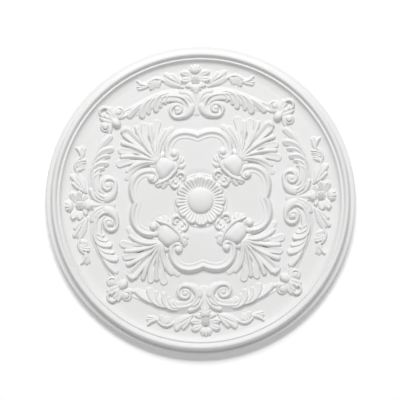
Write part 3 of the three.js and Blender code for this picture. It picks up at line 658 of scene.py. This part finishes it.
def thinned(points, triangles, count):
    """The same surface with fewer triangles, most of them where it bends."""
    carrier = bpy.data.objects.new("wedge", mesh_from(points, triangles, "wedge"))
    bpy.context.scene.collection.objects.link(carrier)
    modifier = carrier.modifiers.new("thin", "DECIMATE")
    modifier.ratio = count / len(triangles)
    modifier.use_collapse_triangulate = True
    graph = bpy.context.evaluated_depsgraph_get()
    result = carrier.evaluated_get(graph).to_mesh()
    coordinates = np.empty(3 * len(result.vertices))
    result.vertices.foreach_get("co", coordinates)
    corners = np.empty(3 * len(result.polygons), int)
    result.polygons.foreach_get("vertices", corners)
    carrier.evaluated_get(graph).to_mesh_clear()
    bpy.data.objects.remove(carrier)
    return coordinates.reshape(-1, 3), corners.reshape(-1, 3)


def snapped_to_borders(points):
    """Points at the wedge's two straight borders, its tip and its outer edge put exactly there."""
    x, y, z = points.T.copy()
    x[x < BORDER_REACH] = 0.0
    diagonal = y - x < BORDER_REACH
    middle = (x + y) / 2
    x = np.where(diagonal, middle, x)
    y = np.where(diagonal, middle, y)
    radius = np.hypot(x, y)
    to_edge = OUTER_RADIUS / np.maximum(radius, 1.0)
    stretch = np.where(radius > OUTER_RADIUS - BORDER_REACH, to_edge, 1.0)
    stretch[radius < BORDER_REACH] = 0.0
    return np.stack([x * stretch, y * stretch, z], axis=1)


def mirrored_round(points, triangles):
    """One wedge mirrored into the whole disc, with the points on its borders shared."""
    all_points, all_triangles = [], []
    for swapped in (False, True):
        for sign_x in (1, -1):
            for sign_y in (1, -1):
                copy = points[:, [1, 0, 2]] if swapped else points
                flipped = swapped != (sign_x * sign_y < 0)
                start = len(points) * len(all_points)
                all_points.append(copy * (sign_x, sign_y, 1))
                all_triangles.append(start + (triangles[:, ::-1] if flipped else triangles))
    stacked = np.concatenate(all_points)
    rounded = np.round(stacked, SHARED_DECIMALS) + 0.0
    _, kept, place = np.unique(rounded, axis=0, return_index=True, return_inverse=True)
    return stacked[kept], place.reshape(-1)[np.concatenate(all_triangles)]


def closed_at_back(points, triangles):
    """The face with an edge wall and a flat back added."""
    edge = np.flatnonzero(np.hypot(points[:, 0], points[:, 1]) > OUTER_RADIUS - EDGE_REACH)
    edge = edge[np.argsort(np.arctan2(points[edge, 1], points[edge, 0]))]
    after = np.roll(edge, -1)
    foot = len(points) + np.arange(len(edge))
    foot_after = np.roll(foot, -1)
    centre = np.full(len(edge), len(points) + len(edge))
    wall_low = np.stack([edge, foot, foot_after], axis=1)
    wall_high = np.stack([edge, foot_after, after], axis=1)
    back = np.stack([centre, foot_after, foot], axis=1)
    lower = points[edge] * (1, 1, 0)
    solid_points = np.concatenate([points, lower, np.zeros((1, 3))])
    return solid_points, np.concatenate([triangles, wall_low, wall_high, back])


def make_rose():
    """The whole rose as one closed mesh, smooth on its face and flat on its wall and back."""
    points, triangles = thinned(*softened(*wedge_grid()), WEDGE_TRIANGLES)
    points, triangles = mirrored_round(snapped_to_borders(points), triangles)
    solid_points, solid_triangles = closed_at_back(points, triangles)
    mesh = mesh_from(solid_points * MM, solid_triangles, "ceiling_rose_relief")
    smooth = np.arange(len(solid_triangles)) < len(triangles)
    mesh.polygons.foreach_set("use_smooth", smooth)
    mesh.set_sharp_from_angle(angle=SHARP_ANGLE)
    rose = bpy.data.objects.new("ceiling_rose_relief", mesh)
    bpy.context.scene.collection.objects.link(rose)
    shading = rose.modifiers.new("even_shading", "WEIGHTED_NORMAL")
    shading.mode = "FACE_AREA"
    shading.keep_sharp = True
    return rose


# Materials


def new_material(name):
    material = bpy.data.materials.new(name)
    material.use_nodes = True
    nodes = material.node_tree.nodes
    return material, nodes, material.node_tree.links, nodes["Principled BSDF"]


def primer_material():
    """Matt white factory primer: faint clouding, uneven sheen and a fine sprayed grain."""
    material, nodes, links, shader = new_material("white_primer")
    place = nodes.new("ShaderNodeTexCoord")
    clouds = nodes.new("ShaderNodeTexNoise")
    clouds.inputs["Scale"].default_value = 9.0
    clouds.inputs["Detail"].default_value = 3.0
    grain = nodes.new("ShaderNodeTexNoise")
    grain.inputs["Scale"].default_value = 900.0
    grain.inputs["Detail"].default_value = 2.0
    tint = nodes.new("ShaderNodeValToRGB")
    tint.color_ramp.elements[0].position = 0.3
    tint.color_ramp.elements[0].color = (0.745, 0.745, 0.74, 1)
    tint.color_ramp.elements[1].position = 0.7
    tint.color_ramp.elements[1].color = (0.765, 0.765, 0.762, 1)
    sheen = nodes.new("ShaderNodeMapRange")
    sheen.inputs["To Min"].default_value = 0.58
    sheen.inputs["To Max"].default_value = 0.72
    bump = nodes.new("ShaderNodeBump")
    bump.inputs["Strength"].default_value = 0.25
    bump.inputs["Distance"].default_value = 0.0001
    for texture in (clouds, grain):
        links.new(place.outputs["Object"], texture.inputs["Vector"])
    links.new(clouds.outputs["Fac"], tint.inputs["Fac"])
    links.new(tint.outputs["Color"], shader.inputs["Base Color"])
    links.new(grain.outputs["Fac"], sheen.inputs["Value"])
    links.new(sheen.outputs["Result"], shader.inputs["Roughness"])
    links.new(grain.outputs["Fac"], bump.inputs["Height"])
    links.new(bump.outputs["Normal"], shader.inputs["Normal"])
    shader.inputs["Specular IOR Level"].default_value = 0.3
    return material


def floor_material():
    material, _, _, shader = new_material("white_floor")
    shader.inputs["Base Color"].default_value = (0.985, 0.985, 0.985, 1)
    shader.inputs["Roughness"].default_value = 0.9
    shader.inputs["Emission Color"].default_value = (1, 1, 1, 1)
    shader.inputs["Emission Strength"].default_value = 0.05
    return material


# Stage, lights and camera


def make_floor():
    mesh = bpy.data.meshes.new("floor")
    ways = [(-1, -1), (1, -1), (1, 1), (-1, 1)]
    corners = [(FLOOR_REACH * x, FLOOR_REACH * y, -FLOOR_DROP) for x, y in ways]
    mesh.from_pydata(corners, [], [(0, 1, 2, 3)])
    mesh.materials.append(floor_material())
    floor = bpy.data.objects.new("floor", mesh)
    bpy.context.scene.collection.objects.link(floor)


def aim(thing, place, target, up):
    """Put a camera or light at a place, looking at a target with a given way up."""
    back = (Vector(place) - Vector(target)).normalized()
    right = Vector(up).cross(back).normalized()
    turn = Matrix((right, back.cross(right), back)).transposed().to_4x4()
    thing.matrix_world = Matrix.Translation(place) @ turn


def area_light(name, place, width, height, watts):
    light = bpy.data.lights.new(name, "AREA")
    light.shape = "RECTANGLE"
    light.size = width
    light.size_y = height
    light.energy = watts
    lamp = bpy.data.objects.new(name, light)
    bpy.context.scene.collection.objects.link(lamp)
    aim(lamp, place, (0, 0, 0), (0, 0, 1))


def make_lights():
    for light in LIGHTS:
        area_light(*light)
    world = bpy.data.worlds.new("room")
    world.use_nodes = True
    background = world.node_tree.nodes["Background"]
    background.inputs["Color"].default_value = (1, 1, 1, 1)
    background.inputs["Strength"].default_value = ROOM_LIGHT
    bpy.context.scene.world = world


def make_camera():
    """Straight down from far off, rolled a little, because the pattern stands askew in the picture."""
    radius_share = RADIUS_PIXELS / PICTURE_PIXELS
    camera = bpy.data.cameras.new("camera")
    camera.sensor_width = 36.0
    camera.lens = camera.sensor_width * radius_share * (CAMERA_DISTANCE - EDGE_HEIGHT) / (OUTER_RADIUS * MM)
    camera.shift_x = SHIFT_PIXELS[0] / PICTURE_PIXELS
    camera.shift_y = SHIFT_PIXELS[1] / PICTURE_PIXELS
    camera_object = bpy.data.objects.new("camera", camera)
    bpy.context.scene.collection.objects.link(camera_object)
    up = (math.sin(CAMERA_ROLL), math.cos(CAMERA_ROLL), 0)
    aim(camera_object, (0, 0, CAMERA_DISTANCE), (0, 0, 0), up)
    bpy.context.scene.camera = camera_object


def main():
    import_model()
    rose = make_rose()
    rose.data.materials.append(primer_material())
    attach(rose, "root")
    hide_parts("ceiling_rose")
    make_floor()
    make_lights()
    make_camera()
    bpy.context.scene.view_settings.view_transform = "Standard"


main()
